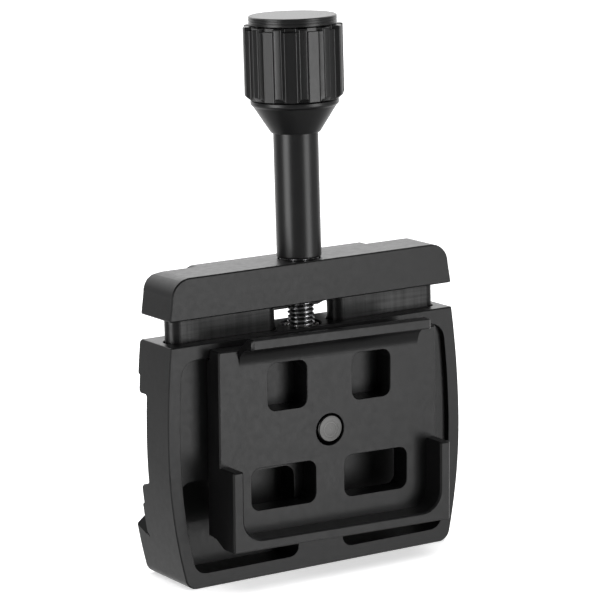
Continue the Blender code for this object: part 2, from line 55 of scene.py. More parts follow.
# ------------------------------------------------------------------ dimensions
BODY_H = 45.0
BODY_HALF_MAX, BODY_Z_MAX, BODY_R_UP, BODY_R_DOWN = 31.4, 24.5, 168.0, 96.0
RIM, RIM_TOP, RIM_BOTTOM = 2.5, 2.75, 2.7
POCKET_D, POCKET_Z0 = 1.1, 6.0
DEEP_D, DEEP_Z1, WEB_HALF = 5.8, 19.8, 4.8
SEAT_D, RELIEF_D, CHANNEL_D, LIP_D = 11.4, 10.8, 8.05, 15.2
FIXED_ROOT_Z, FIXED_ROOT_D, FLANK = 7.9, 10.9, 4.1
SCREW_D = 4.95
OPEN_GAP, JAW_H = 4.6, 7.65
JAW_HALF, JAW_D, JAW_TOP_HALF, JAW_LIP_HALF = 30.15, 10.9, 25.7, 19.2
TONGUE_IN, TONGUE_OUT, TONGUE_R, TONGUE_L = 6.0, 28.35, 2.15, 9.0
JAW_LIP_LOW, JAW_LIP_Z = 9.7, 4.05
POCKET_BOTTOM_Z = 35.4
GAP = 0.3
FOOT_HALF, FOOT_FRONT_D, PLATE_FACE_D = 23.3, -8.4, -3.6
PLATE_Z0, PLATE_Z1, FOOT_Z0, FOOT_Z1 = 8.8, 43.3, 7.3, 45.8
BAR_HALF, BAR_UNDER_Z, BAR_FILLET = 19.15, 43.85, 3.7
U_INNER_HALF, U_INNER_Z, U_TOP_Z, U_CORNER_R = 21.15, 9.25, 22.2, 4.0
FOOT_SCREW_Z = 26.45
FOOT_SHIFT, FOOT_TURN = 0.4, 1.32
SCREW_R, SCREW_TIP_Z, PITCH = 2.5, 38.0, 0.8
KNOB_TOP_Z, STEM_R, GRIP_R, FLUTES = 101.7, 4.12, 9.15, 12
FLUTE_PHASE, VIEW_AZ = 11.5, -31.27

jaw_z0 = BODY_H + OPEN_GAP
jaw_z1 = jaw_z0 + JAW_H


# ------------------------------------------------------------------ mesh tools
def new_object(name, bm, smooth=35):
    bmesh.ops.recalc_face_normals(bm, faces=bm.faces)
    mesh = bpy.data.meshes.new(name)
    bm.to_mesh(mesh)
    bm.free()
    if smooth:
        mesh.shade_smooth()
        mesh.set_sharp_from_angle(angle=math.radians(smooth))
    ob = bpy.data.objects.new(name, mesh)
    bpy.context.scene.collection.objects.link(ob)
    return ob


PLACE = {"X": lambda u, v, w: (w, u, v),
         "Y": lambda u, v, w: (u, w, v),
         "Z": lambda u, v, w: (u, v, w)}


def loft(name, sections, axis):
    """Closed solid through loops of equal length. sections: [(w, loop), ...]."""
    bm = bmesh.new()
    put = PLACE[axis]
    rings = [[bm.verts.new(put(u, v, w)) for u, v in loop] for w, loop in sections]
    for a, b in zip(rings, rings[1:]):
        n = len(a)
        for i in range(n):
            j = (i + 1) % n
            bm.faces.new((a[i], a[j], b[j], b[i]))
    bm.faces.new(rings[0])
    bm.faces.new(list(reversed(rings[-1])))
    return new_object(name, bm)


def prism(name, loop, axis, lo, hi):
    return loft(name, [(lo, loop), (hi, loop)], axis)


def area2(loop):
    return sum(x0 * y1 - x1 * y0 for (x0, y0), (x1, y1) in zip(loop, loop[1:] + loop[:1]))


def offset(loop, c):
    """Move a closed loop outward by c (inward when c is negative)."""
    if abs(c) < 1e-9:
        return list(loop)
    sign = 1.0 if area2(loop) > 0 else -1.0
    out = []
    n = len(loop)
    for i in range(n):
        p, a, b = Vector(loop[i]), Vector(loop[i - 1]), Vector(loop[(i + 1) % n])
        e1, e2 = (p - a).normalized(), (b - p).normalized()
        n1, n2 = Vector((e1.y, -e1.x)) * sign, Vector((e2.y, -e2.x)) * sign
        m = (n1 + n2) / max(0.35, 1.0 + n1.dot(n2))
        out.append(tuple(p + m * c))
    return out


def outline(spec, c=0.0, n=8):
    """Loop through corners (u, v, radius), moved outward by c. Corner radii grow
    or shrink with c, so the loop never crosses itself."""
    pts = [Vector((p[0], p[1])) for p in spec]
    m = len(pts)
    sign = 1.0 if area2([tuple(p) for p in pts]) > 0 else -1.0
    moved, convex = [], []
    for i, p in enumerate(pts):
        e1, e2 = (p - pts[i - 1]).normalized(), (pts[(i + 1) % m] - p).normalized()
        n1, n2 = Vector((e1.y, -e1.x)) * sign, Vector((e2.y, -e2.x)) * sign
        moved.append(p + (n1 + n2) / max(0.25, 1.0 + n1.dot(n2)) * c)
        convex.append((e1.x * e2.y - e1.y * e2.x) * sign > 0)
    out = []
    for i, p in enumerate(moved):
        r = spec[i][2]
        if r <= 0:
            out.append(tuple(p))
            continue
        r = max(0.02, r + c) if convex[i] else max(0.02, r - c)
        a, b = moved[i - 1] - p, moved[(i + 1) % m] - p
        reach = min(a.length * (0.49 if spec[i - 1][2] > 0 else 0.98),
                    b.length * (0.49 if spec[(i + 1) % m][2] > 0 else 0.98))
        a.normalize()
        b.normalize()
        half = a.angle(b) / 2
        t = r / math.tan(half)
        if t > reach:
            t, r = reach, reach * math.tan(half)
        centre = p + (a + b).normalized() * (r / math.sin(half))
        p0, p1 = p + a * t, p + b * t
        a0 = math.atan2(p0.y - centre.y, p0.x - centre.x)
        a1 = math.atan2(p1.y - centre.y, p1.x - centre.x)
        d = (a1 - a0 + math.pi) % (2 * math.pi) - math.pi
        out += [(centre.x + r * math.cos(a0 + d * k / n),
                 centre.y + r * math.sin(a0 + d * k / n)) for k in range(n + 1)]
    return out


def at(shape, c):
    """The loop of a shape moved outward by c: a corner spec or a plain loop."""
    return outline(shape, c) if len(shape[0]) == 3 else offset(shape, c)


def bevelled_ends(shape, lo, hi, c_lo, c_hi):
    """Sections of a solid between lo and hi whose end edges have flat chamfers."""
    sections = [(lo, at(shape, -c_lo))] if c_lo > 0 else []
    sections += [(lo + c_lo, at(shape, 0.0)), (hi - c_hi, at(shape, 0.0))]
    return sections + ([(hi, at(shape, -c_hi))] if c_hi > 0 else [])


def rounded_ends(shape, lo, hi, r_lo, r_hi, n=4):
    """Sections of a solid between lo and hi whose end edges are rounded."""
    sections = []
    if r_lo > 0:
        for k in range(n):
            t = math.pi / 2 * k / n
            sections.append((lo + r_lo * (1 - math.cos(t)), at(shape, -r_lo * (1 - math.sin(t)))))
    sections.append((lo + r_lo, at(shape, 0.0)))
    sections.append((hi - r_hi, at(shape, 0.0)))
    if r_hi > 0:
        for k in range(n - 1, -1, -1):
            t = math.pi / 2 * k / n
            sections.append((hi - r_hi * (1 - math.cos(t)), at(shape, -r_hi * (1 - math.sin(t)))))
    return sections


def mouth(shape, face, bottom, r, over, n=3, c=0.0):
    """Sections of a cutter that leaves a rounded edge of radius r at the face.
    face, bottom and over are positions along the axis; over lies outside."""
    way = 1.0 if bottom > face else -1.0
    sections = [(over, at(shape, c + r)), (face - way * 0.015, at(shape, c + r))]
    for k in range(n - 1, -1, -1):
        t = math.pi / 2 * k / n
        sections.append((face + way * r * (1 - math.sin(t)), at(shape, c + r * (1 - math.cos(t)))))
    sections.append((bottom, at(shape, c)))
    return sections


def arc(cx, cy, r, a0, a1, n):
    return [(cx + r * math.cos(math.radians(a0 + (a1 - a0) * i / n)),
             cy + r * math.sin(math.radians(a0 + (a1 - a0) * i / n))) for i in range(n + 1)]


def rounded_rect(x0, x1, z0, z1, r, n=8):
    return (arc(x1 - r, z0 + r, r, -90, 0, n) + arc(x1 - r, z1 - r, r, 0, 90, n)
            + arc(x0 + r, z1 - r, r, 90, 180, n) + arc(x0 + r, z0 + r, r, 180, 270, n))


def slot_loop(x0, x1, y0, r, n=20):
    return arc(x1 - r, y0, r, -90, 90, n) + arc(x0 + r, y0, r, 90, 270, n)


def mirrored(points):
    return [(-x, z) for x, z in reversed(points)]


def rounded_polygon(points, radii, n=5):
    out = []
    m = len(points)
    for i, (p, r) in enumerate(zip(points, radii)):
        p = Vector(p)
        a, b = Vector(points[i - 1]) - p, Vector(points[(i + 1) % m]) - p
        if r <= 0:
            out.append(tuple(p))
            continue
        reach = 0.45 * min(a.length, b.length)
        a.normalize()
        b.normalize()
        half = a.angle(b) / 2
        t = r / math.tan(half)
        if t > reach:
            t, r = reach, reach * math.tan(half)
        centre = p + (a + b).normalized() * (r / math.sin(half))
        p0, p1 = p + a * t, p + b * t
        a0 = math.atan2(p0.y - centre.y, p0.x - centre.x)
        a1 = math.atan2(p1.y - centre.y, p1.x - centre.x)
        d = (a1 - a0 + math.pi) % (2 * math.pi) - math.pi
        out += [(centre.x + r * math.cos(a0 + d * k / n),
                 centre.y + r * math.sin(a0 + d * k / n)) for k in range(n + 1)]
    return out


def revolve(name, profile, centre, steps, axis="Z", smooth=30):
    """Revolve a closed (r, w) profile about an axis through centre."""
    bm = bmesh.new()
    put = PLACE[axis]
    rings = []
    for r, w in profile:
        if r < 1e-6:
            rings.append([bm.verts.new(put(centre[0], centre[1], w))])
        else:
            rings.append([bm.verts.new(put(centre[0] + r * math.cos(2 * math.pi * k / steps),
                                           centre[1] + r * math.sin(2 * math.pi * k / steps), w))
                          for k in range(steps)])
    n = len(profile)
    for i in range(n):
        a, b = rings[i], rings[(i + 1) % n]
        if len(a) == 1 and len(b) == 1:
            continue
        for k in range(steps):
            k2 = (k + 1) % steps
            if len(a) == 1:
                bm.faces.new((a[0], b[k2], b[k]))
            elif len(b) == 1:
                bm.faces.new((a[k], a[k2], b[0]))
            else:
                bm.faces.new((a[k], a[k2], b[k2], b[k]))
    return new_object(name, bm, smooth)


def combine(target, tools, smooth=35):
    """Apply Booleans in order. tools: [(object, operation), ...]."""
    for tool, operation in tools:
        mod = target.modifiers.new(tool.name, "BOOLEAN")
        mod.object, mod.operation, mod.solver = tool, operation, "EXACT"
        bpy.context.view_layer.update()
        graph = bpy.context.evaluated_depsgraph_get()
        mesh = bpy.data.meshes.new_from_object(target.evaluated_get(graph))
        target.modifiers.clear()
        target.data = mesh
        bpy.data.objects.remove(tool, do_unlink=True)
    bm = bmesh.new()
    bm.from_mesh(mesh)
    bmesh.ops.remove_doubles(bm, verts=bm.verts, dist=0.0008)
    bmesh.ops.dissolve_degenerate(bm, edges=bm.edges, dist=0.0005)
    bm.to_mesh(mesh)
    bm.free()
    mesh.shade_smooth()
    mesh.set_sharp_from_angle(angle=math.radians(smooth))
    return target


def cut(tool):
    return (tool, "DIFFERENCE")


def join(tool):
    return (tool, "UNION")


def keep(tool):
    return (tool, "INTERSECT")


def place(ob, material, body, stands_for):
    """Scale to metres, weight the normals, ride on its body."""
    ob.data.transform(Matrix.Scale(MM, 4))
    ob.data.update()
    ob.data.materials.clear()
    ob.data.materials.append(material)
    for poly in ob.data.polygons:
        poly.material_index = 0
    weighted = ob.modifiers.new("weighted_normals", "WEIGHTED_NORMAL")
    weighted.keep_sharp = True
    weighted.weight = 80
    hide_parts(stands_for)
    if body:
        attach(ob, body)
    return ob


# ------------------------------------------------------------------ finishes
def base_material(name):
    mat = bpy.data.materials.new(name)
    mat.use_nodes = True
    tree = mat.node_tree
    return mat, tree, tree.nodes["Principled BSDF"]


def noise(tree, vector, scale, detail=2.0, rough=0.5, stretch=None):
    node = tree.nodes.new("ShaderNodeTexNoise")
    node.inputs["Scale"].default_value = scale
    node.inputs["Detail"].default_value = detail
    node.inputs["Roughness"].default_value = rough
    if stretch:
        mapping = tree.nodes.new("ShaderNodeMapping")
        mapping.inputs["Scale"].default_value = stretch
        tree.links.new(vector, mapping.inputs["Vector"])
        vector = mapping.outputs["Vector"]
    tree.links.new(vector, node.inputs["Vector"])
    return node.outputs["Fac"]


def spread(tree, value, lo, hi, from_lo=0.3, from_hi=0.7):
    node = tree.nodes.new("ShaderNodeMapRange")
    node.inputs["From Min"].default_value = from_lo
    node.inputs["From Max"].default_value = from_hi
    node.inputs["To Min"].default_value = lo
    node.inputs["To Max"].default_value = hi
    tree.links.new(value, node.inputs["Value"])
    return node.outputs["Result"]


def shade(tree, value, dark, light):
    node = tree.nodes.new("ShaderNodeValToRGB")
    node.color_ramp.elements[0].position = 0.3
    node.color_ramp.elements[0].color = (*dark, 1)
    node.color_ramp.elements[1].position = 0.7
    node.color_ramp.elements[1].color = (*light, 1)
    tree.links.new(value, node.inputs["Fac"])
    return node.outputs["Color"]


def bump(tree, height, strength, distance, before=None):
    node = tree.nodes.new("ShaderNodeBump")
    node.inputs["Strength"].default_value = strength
    node.inputs["Distance"].default_value = distance
    tree.links.new(height, node.inputs["Height"])
    if before is not None:
        tree.links.new(before, node.inputs["Normal"])
    return node.outputs["Normal"]


def anodised(name, dark, light, rough, grain=0.35, lines=None, lines_strength=0.2, ior=1.41):
    """Black anodised aluminium: a clear oxide over a fine blasted or cut surface.
    lines: stretch of the cutter marks along X, Y, Z."""
    mat, tree, bsdf = base_material(name)
    where = tree.nodes.new("ShaderNodeTexCoord").outputs["Object"]
    cloud = noise(tree, where, 140.0, 3.0)
    fine = noise(tree, where, 5200.0, 2.0, 0.6)
    tree.links.new(shade(tree, cloud, dark, light), bsdf.inputs["Base Color"])
    patches = noise(tree, where, 900.0, 4.0, 0.6)
    tree.links.new(spread(tree, patches, rough - 0.035, rough + 0.035), bsdf.inputs["Roughness"])
    normal = bump(tree, fine, grain, 0.000012)
    if lines:
        marks = noise(tree, where, 1.0, 3.0, 0.6, lines)
        normal = bump(tree, marks, lines_strength, 0.00001, normal)
    tree.links.new(normal, bsdf.inputs["Normal"])
    bsdf.inputs["Metallic"].default_value = 0.0
    bsdf.inputs["IOR"].default_value = ior
    return mat


def milled_below(mat, level, far):
    """Below this height, short of this depth, the surface is left as milled:
    crossing cutter lines."""
    tree = mat.node_tree
    bsdf = next(n for n in tree.nodes if n.type == "BSDF_PRINCIPLED")
    where = tree.nodes.new("ShaderNodeTexCoord").outputs["Object"]
    split = tree.nodes.new("ShaderNodeSeparateXYZ")
    tree.links.new(where, split.inputs["Vector"])
    low = spread(tree, split.outputs["Z"], 1.0, 0.0, level - 0.0001, level)
    near = spread(tree, split.outputs["Y"], 1.0, 0.0, far - 0.0001, far)
    milled = tree.nodes.new("ShaderNodeMath")
    milled.operation = "MULTIPLY"
    tree.links.new(low, milled.inputs[0])
    tree.links.new(near, milled.inputs[1])
    across = noise(tree, where, 1.0, 3.0, 0.7, (35, 35, 2400))
    upright = noise(tree, where, 1.0, 3.0, 0.7, (900, 900, 30))
    lines = tree.nodes.new("ShaderNodeMath")
    lines.operation = "ADD"
    tree.links.new(across, lines.inputs[0])
    tree.links.new(upright, lines.inputs[1])
    level_of_gloss = spread(tree, lines.outputs["Value"], 0.40, 0.78, 0.75, 1.25)
    mix = tree.nodes.new("ShaderNodeMix")
    mix.data_type = "FLOAT"
    tree.links.new(milled.outputs["Value"], mix.inputs["Factor"])
    mix.inputs[2].default_value = 0.5
    tree.links.new(level_of_gloss, mix.inputs[3])
    tree.links.new(mix.outputs[0], bsdf.inputs["Specular IOR Level"])


def turned_metal(name, dark, light, rough, metal, centre, across="Z", ring=0.00006,
                 strength=0.25, grain=0.15, ior=1.5):
    """A surface cut on a lathe: fine rings round the axis."""
    mat, tree, bsdf = base_material(name)
    where = tree.nodes.new("ShaderNodeTexCoord").outputs["Object"]
    shift = tree.nodes.new("ShaderNodeVectorMath")
    shift.operation = "SUBTRACT"
    shift.inputs[1].default_value = centre
    tree.links.new(where, shift.inputs[0])
    split = tree.nodes.new("ShaderNodeSeparateXYZ")
    tree.links.new(shift.outputs["Vector"], split.inputs["Vector"])
    axis = {"X": "X", "Y": "Y", "Z": "Z"}[across]
    flat = tree.nodes.new("ShaderNodeVectorMath")
    flat.operation = "MULTIPLY"
    flat.inputs[1].default_value = tuple(0.0 if a == axis else 1.0 for a in "XYZ")
    tree.links.new(shift.outputs["Vector"], flat.inputs[0])
    length = tree.nodes.new("ShaderNodeVectorMath")
    length.operation = "LENGTH"
    tree.links.new(flat.outputs["Vector"], length.inputs[0])
    both = tree.nodes.new("ShaderNodeMath")
    both.operation = "ADD"
    tree.links.new(length.outputs["Value"], both.inputs[0])
    tree.links.new(split.outputs[axis], both.inputs[1])
    scaled = tree.nodes.new("ShaderNodeMath")
    scaled.operation = "DIVIDE"
    scaled.inputs[1].default_value = ring
    tree.links.new(both.outputs["Value"], scaled.inputs[0])
    rings = tree.nodes.new("ShaderNodeTexNoise")
    rings.noise_dimensions = "1D"
    rings.inputs["Scale"].default_value = 0.35
    rings.inputs["Detail"].default_value = 4.0
    tree.links.new(scaled.outputs["Value"], rings.inputs["W"])
    cloud = noise(tree, where, 160.0, 2.0)
    tree.links.new(shade(tree, cloud, dark, light), bsdf.inputs["Base Color"])
    tree.links.new(spread(tree, rings.outputs["Fac"], rough - 0.04, rough + 0.04),
                   bsdf.inputs["Roughness"])
    fine = noise(tree, where, 6000.0, 2.0)
    normal = bump(tree, fine, grain, 0.000008)
    normal = bump(tree, rings.outputs["Fac"], strength, 0.000008, normal)
    tree.links.new(normal, bsdf.inputs["Normal"])
    bsdf.inputs["Metallic"].default_value = metal
    bsdf.inputs["IOR"].default_value = ior
    return mat


AXIS = (0.0, depth(SCREW_D) * MM, 0.0)
BLACK_DARK, BLACK_LIGHT = (0.0026, 0.0026, 0.0028), (0.0042, 0.0042, 0.0044)
body_finish = anodised("black_anodised_body", BLACK_DARK, BLACK_LIGHT, 0.38, 0.32,
                       (2600, 2600, 120), 0.10)
jaw_finish = anodised("black_anodised_jaw", BLACK_DARK, BLACK_LIGHT, 0.38, 0.30,
                      (90, 900, 3400), 0.16)
milled_below(jaw_finish, jaw_z0 * MM, depth(9.0) * MM)
foot_finish = anodised("black_anodised_foot", BLACK_DARK, BLACK_LIGHT, 0.36, 0.34,
                       (2600, 2600, 150), 0.08)
stem_finish = turned_metal("black_anodised_turned", (0.0035, 0.0035, 0.0037),
                           (0.0055, 0.0055, 0.0057), 0.33, 0.0, AXIS, "Z", 0.00007, 0.06,
                           0.12, 1.49)
grip_finish = anodised("grip_sleeve_black", (0.0035, 0.0035, 0.0037), (0.0055, 0.0055, 0.0057),
                       0.33, 0.18, None, 0.0, 1.52)
screw_finish = turned_metal("plated_screw", (0.80, 0.80, 0.82), (0.94, 0.94, 0.95), 0.27, 1.0,
                            AXIS, "Z", 0.00005, 0.12)


def painted_shade_in_roots(material, root, crest):
    """Painted shade in the grooves of a thread: the base colour darkens towards the roots, so only its
    crests stay bright.
    """
    tree = material.node_tree
    bsdf = next(node for node in tree.nodes if node.type == "BSDF_PRINCIPLED")
    colour = bsdf.inputs["Base Color"].links[0].from_socket
    where = tree.nodes.new("ShaderNodeTexCoord").outputs["Object"]
    shift = tree.nodes.new("ShaderNodeVectorMath")
    shift.operation = "SUBTRACT"
    shift.inputs[1].default_value = AXIS
    tree.links.new(where, shift.inputs[0])
    flat = tree.nodes.new("ShaderNodeVectorMath")
    flat.operation = "MULTIPLY"
    flat.inputs[1].default_value = (1.0, 1.0, 0.0)
    tree.links.new(shift.outputs["Vector"], flat.inputs[0])
    radius = tree.nodes.new("ShaderNodeVectorMath")
    radius.operation = "LENGTH"
    tree.links.new(flat.outputs["Vector"], radius.inputs[0])
    level = tree.nodes.new("ShaderNodeMapRange")
    level.interpolation_type = "SMOOTHSTEP"
    level.inputs["From Min"].default_value = root
    level.inputs["From Max"].default_value = crest
    level.inputs["To Min"].default_value = 0.10
    level.inputs["To Max"].default_value = 1.0
    tree.links.new(radius.outputs["Value"], level.inputs["Value"])
    dim = tree.nodes.new("ShaderNodeVectorMath")
    dim.operation = "SCALE"
    tree.links.new(colour, dim.inputs[0])
    tree.links.new(level.outputs["Result"], dim.inputs["Scale"])
    tree.links.new(dim.outputs["Vector"], bsdf.inputs["Base Color"])


# painted shade: the clamping screw's base colour is darkened towards its thread roots
painted_shade_in_roots(screw_finish, (SCREW_R - 0.34) * MM, (SCREW_R - 0.08) * MM)
foot_screw_finish = turned_metal("turned_screw_end", (0.052, 0.052, 0.051), (0.085, 0.084, 0.083),
                                 0.30, 1.0, (FOOT_SHIFT * MM, 0.0, FOOT_SCREW_Z * MM), "Y", 0.00009, 0.5)
washer_finish = turned_metal("washer_steel", (0.03, 0.03, 0.031), (0.05, 0.05, 0.051), 0.4, 1.0,
                             AXIS, "Z", 0.00008, 0.3)
clip_finish = anodised("blackened_clip", (0.03, 0.03, 0.031), (0.05, 0.05, 0.052), 0.35, 0.2)
insert_finish = turned_metal("insert_steel", (0.45, 0.44, 0.42), (0.60, 0.59, 0.57), 0.3, 1.0,
                             AXIS, "Z", 0.00008, 0.3)
wire_finish = turned_metal("spring_wire", (0.50, 0.50, 0.50), (0.66, 0.66, 0.66), 0.28, 1.0,
                           AXIS, "Z", 0.0001, 0.2)


# ------------------------------------------------------------------ clamp body
def body_half(z):
    radius = BODY_R_UP if z > BODY_Z_MAX else BODY_R_DOWN
    return BODY_HALF_MAX - (z - BODY_Z_MAX) ** 2 / (2 * radius)


def slope_at(z):
    radius = BODY_R_UP if z > BODY_Z_MAX else BODY_R_DOWN
    return -(z - BODY_Z_MAX) / radius


def barrel_side(z0, z1, inset, r0, r1, n):
    """Corners and points up the right side, from a corner of radius r0 to one of r1."""
    lo, hi = z0 + 1.1 * r0, z1 - 1.1 * r1
    side = [(body_half(lo) - inset - slope_at(lo) * (lo - z0), z0, r0)]
    side += [(body_half(lo + (hi - lo) * i / n) - inset, lo + (hi - lo) * i / n, 0.0)
             for i in range(n + 1)]
    side.append((body_half(hi) - inset + slope_at(hi) * (z1 - hi), z1, r1))
    return side


def mirror_spec(spec):
    return [(-x, z, r) for x, z, r in reversed(spec)]


D = depth
body_points = [
    (D(0.0), 0.24, 0.03), (D(0.24), 0.0, 0.03), (D(LIP_D), 0.0, 0.6),
    (D(LIP_D), FIXED_ROOT_Z + FLANK + 0.15, 0.2),
    (D(FIXED_ROOT_D + FLANK), FIXED_ROOT_Z + FLANK, 0.15),
    (D(FIXED_ROOT_D), FIXED_ROOT_Z, 0.25),
    (D(FIXED_ROOT_D), FIXED_ROOT_Z + 0.5, 0.1),
    (D(SEAT_D), FIXED_ROOT_Z + 1.0, 0.15),
    (D(SEAT_D), 14.3, 0.12), (D(RELIEF_D), 14.65, 0.15), (D(RELIEF_D), 17.7, 0.12),
    (D(RELIEF_D - 0.7), 18.3, 0.2), (D(CHANNEL_D), 18.9, 0.5),
    (D(CHANNEL_D), 35.3, 0.5), (D(RELIEF_D - 0.4), 35.3, 0.15), (D(RELIEF_D), 35.8, 0.15),
    (D(RELIEF_D), 38.5, 0.15), (D(SEAT_D), 38.8, 0.12),
    (D(SEAT_D), BODY_H - 0.6, 0.15), (D(SEAT_D - 0.6), BODY_H, 0.15),
    (D(0.24), BODY_H, 0.03), (D(0.0), BODY_H - 0.24, 0.03),
]
body = prism("clamp_body_fine", rounded_polygon([p[:2] for p in body_points],
                                                [p[2] for p in body_points], 4), "X", -33, 33)
right_side = barrel_side(0.0, BODY_H, 0.0, 2.4, 0.2, 40)
body_spec = right_side + mirror_spec(right_side)
tools = [keep(loft("outline", bevelled_ends(body_spec, D(0.0) - 0.0006, D(LIP_D) + 0.0006,
                                            0.2, 0.25), "Y"))]

in_top = BODY_H - RIM_TOP
inner_side = barrel_side(POCKET_Z0, in_top, RIM, 0.6, 3.2, 36)
tools.append(cut(loft("shallow", mouth(inner_side + mirror_spec(inner_side), D(0.0),
                                       D(POCKET_D), 0.14, D(-3)), "Y")))

low_side = barrel_side(RIM_BOTTOM, DEEP_Z1, RIM, 2.6, 2.0, 16)
deep_spec = low_side + [(WEB_HALF, DEEP_Z1, 2.0), (WEB_HALF, RIM_BOTTOM, 2.0)]
for side, spec in (("right", deep_spec), ("left", mirror_spec(deep_spec))):
    tools.append(cut(loft("deep_" + side, mouth(spec, D(0.0), D(DEEP_D), 0.12, D(-3), 3,
                                                -0.012), "Y")))

for sign in (1, -1):
    x0, x1 = sorted((sign * (TONGUE_IN - GAP), sign * (TONGUE_OUT + GAP)))
    slot = slot_loop(x0, x1, D(SCREW_D), TONGUE_R + GAP)
    tools.append(cut(loft("tongue_pocket", mouth(slot, BODY_H, POCKET_BOTTOM_Z, 0.18,
                                                 BODY_H + 3), "Z")))
    tools.append(cut(revolve("spring_bore", [(0, 36.4), (1.75, 36.4), (1.75, 27.0), (0, 26.4)],
                             (sign * 17.0, D(SCREW_D)), 32)))
tools.append(cut(revolve("insert_bore", [(0, 48), (3.9, 48), (3.9, 45.0), (3.65, 44.75),
                                         (3.6, 44.5), (3.6, 36.0), (2.8, 36.0), (2.8, 33.4),
                                         (0, 32.6)], (0.0, D(SCREW_D)), 64)))
tools.append(cut(revolve("foot_screw_bore", [(0, D(12)), (6.1, D(12)), (6.1, D(CHANNEL_D)),
                                             (5.9, D(CHANNEL_D - 0.2)), (5.9, D(4.5)),
                                             (3.5, D(4.5)), (3.5, D(-3)), (0, D(-3))],
                         (0.0, FOOT_SCREW_Z), 64, "Y")))


def lip_end(name, sign):
    def slope(x, d):
        return FIXED_ROOT_Z + 0.44 * (d - FIXED_ROOT_D) + 0.77 * (30.1 - x)

    low = [(31.2, FIXED_ROOT_D - 0.8), (31.2, LIP_D + 2.3), (25.1, LIP_D + 2.3)]
    low = [Vector((x, D(d), slope(x, d))) for x, d in low]
    bm = bmesh.new()
    a = [bm.verts.new(v) for v in low]
    b = [bm.verts.new(v + Vector((3.0, 0.0, 4.0))) for v in low]
    bm.faces.new(a)
    bm.faces.new(list(reversed(b)))
    for i in range(3):
        j = (i + 1) % 3
        bm.faces.new((a[i], b[i], b[j], a[j]))
    if sign < 0:
        bmesh.ops.scale(bm, vec=(-1, 1, 1), verts=bm.verts)
    return new_object(name, bm)


tools += [cut(lip_end("lip_end_right", 1)), cut(lip_end("lip_end_left", -1))]
combine(body, tools)
place(body, body_finish, "base", "clamp_body")

# ------------------------------------------------------------------ moving jaw


def jaw_spec():
    right = [(JAW_HALF, jaw_z0, 0.3)]
    right += [(JAW_HALF - 0.15 * t, jaw_z0 + t, 0.0) for t in (1.5, 2.3, 3.1, 3.9)]
    side_x, side_z = JAW_HALF - 0.15 * 3.9, jaw_z0 + 3.9
    for i in range(1, 21):
        a = math.radians(90.0 * i / 20)
        right.append((JAW_TOP_HALF + (side_x - JAW_TOP_HALF) * math.cos(a),
                      side_z + (jaw_z1 - side_z) * math.sin(a), 0.0))
    return right + mirror_spec(right)


jaw_points = [
    (D(0.0), jaw_z0 + 0.22, 0.03), (D(0.22), jaw_z0, 0.03), (D(JAW_D), jaw_z0, 0.2),
    (D(JAW_D), jaw_z1 - 1.9, 0.3), (D(JAW_D - 0.6), jaw_z1 - 0.6, 0.4),
    (D(JAW_D - 1.9), jaw_z1, 0.5), (D(0.22), jaw_z1, 0.03), (D(0.0), jaw_z1 - 0.22, 0.03),
]
jaw = prism("moving_jaw_fine", rounded_polygon([p[:2] for p in jaw_points],
                                               [p[2] for p in jaw_points], 4), "X", -33, 33)
tools = [keep(loft("jaw_outline", bevelled_ends(jaw_spec(), D(0.0) - 0.0006,
                                                D(JAW_D) + 0.0006, 0.23, 0.25), "Y"))]
# the lip on its back, with slanting ends below
lip_points = [
    (D(LIP_D - JAW_LIP_Z), jaw_z0 + 0.0007, 0.1), (D(LIP_D), jaw_z0 - JAW_LIP_Z, 0.12),
    (D(LIP_D), jaw_z1 - 3.2, 0.3), (D(LIP_D - 0.5), jaw_z1 - 2.4, 0.5),
    (D(12.75), jaw_z1 - 0.35, 0.25), (D(7.0), jaw_z1 - 0.35, 0.0),
    (D(7.0), jaw_z0 + 0.0007, 0.0),
]
lip = loft("jaw_lip", [(x, at(lip_points, 0.0)) for x in (-JAW_LIP_HALF - 1, JAW_LIP_HALF + 1)], "X")
lip_side = [(JAW_LIP_LOW, jaw_z0 - JAW_LIP_Z - 0.01, 0.7),
            (JAW_LIP_HALF, jaw_z0 + 2.2, 1.5), (JAW_LIP_HALF, jaw_z1 - 0.345, 1.3)]
lip_spec = lip_side + mirror_spec(lip_side)
combine(lip, [keep(loft("lip_outline", [(D(5.0), at(lip_spec, 0.0)), (D(17.0), at(lip_spec, 0.0))],
                        "Y"))])
tools.append(join(lip))
for sign in (1, -1):
    x0, x1 = sorted((sign * TONGUE_IN, sign * TONGUE_OUT))
    tools.append(join(loft("tongue", rounded_ends(slot_loop(x0, x1, D(SCREW_D), TONGUE_R),
                                                  jaw_z0 - TONGUE_L, jaw_z0 + 2.0, 0.3, 0.0), "Z")))
for sign in (1, -1):
    tools.append(cut(revolve("tongue_bore", [(0, jaw_z0 - 3.6), (1.75, jaw_z0 - 4.0),
                                             (1.75, jaw_z0 - TONGUE_L - 2),
                                             (0, jaw_z0 - TONGUE_L - 2)],
                             (sign * 17.0, D(SCREW_D)), 32)))
tools.append(cut(revolve("jaw_screw_hole", [
    (0, jaw_z1 + 2), (4.05, jaw_z1 + 2), (4.05, jaw_z1), (3.95, jaw_z1 - 0.1),
    (3.95, jaw_z1 - 0.85), (2.85, jaw_z1 - 0.85), (2.85, jaw_z0 + 1.3), (3.95, jaw_z0 + 1.3), (3.95, jaw_z0 + 0.2), (4.15, jaw_z0),
    (4.15, jaw_z0 - 2), (0, jaw_z0 - 2)], (0.0, D(SCREW_D)), 64)))
combine(jaw, tools)
place(jaw, jaw_finish, "jaw", "moving_jaw")

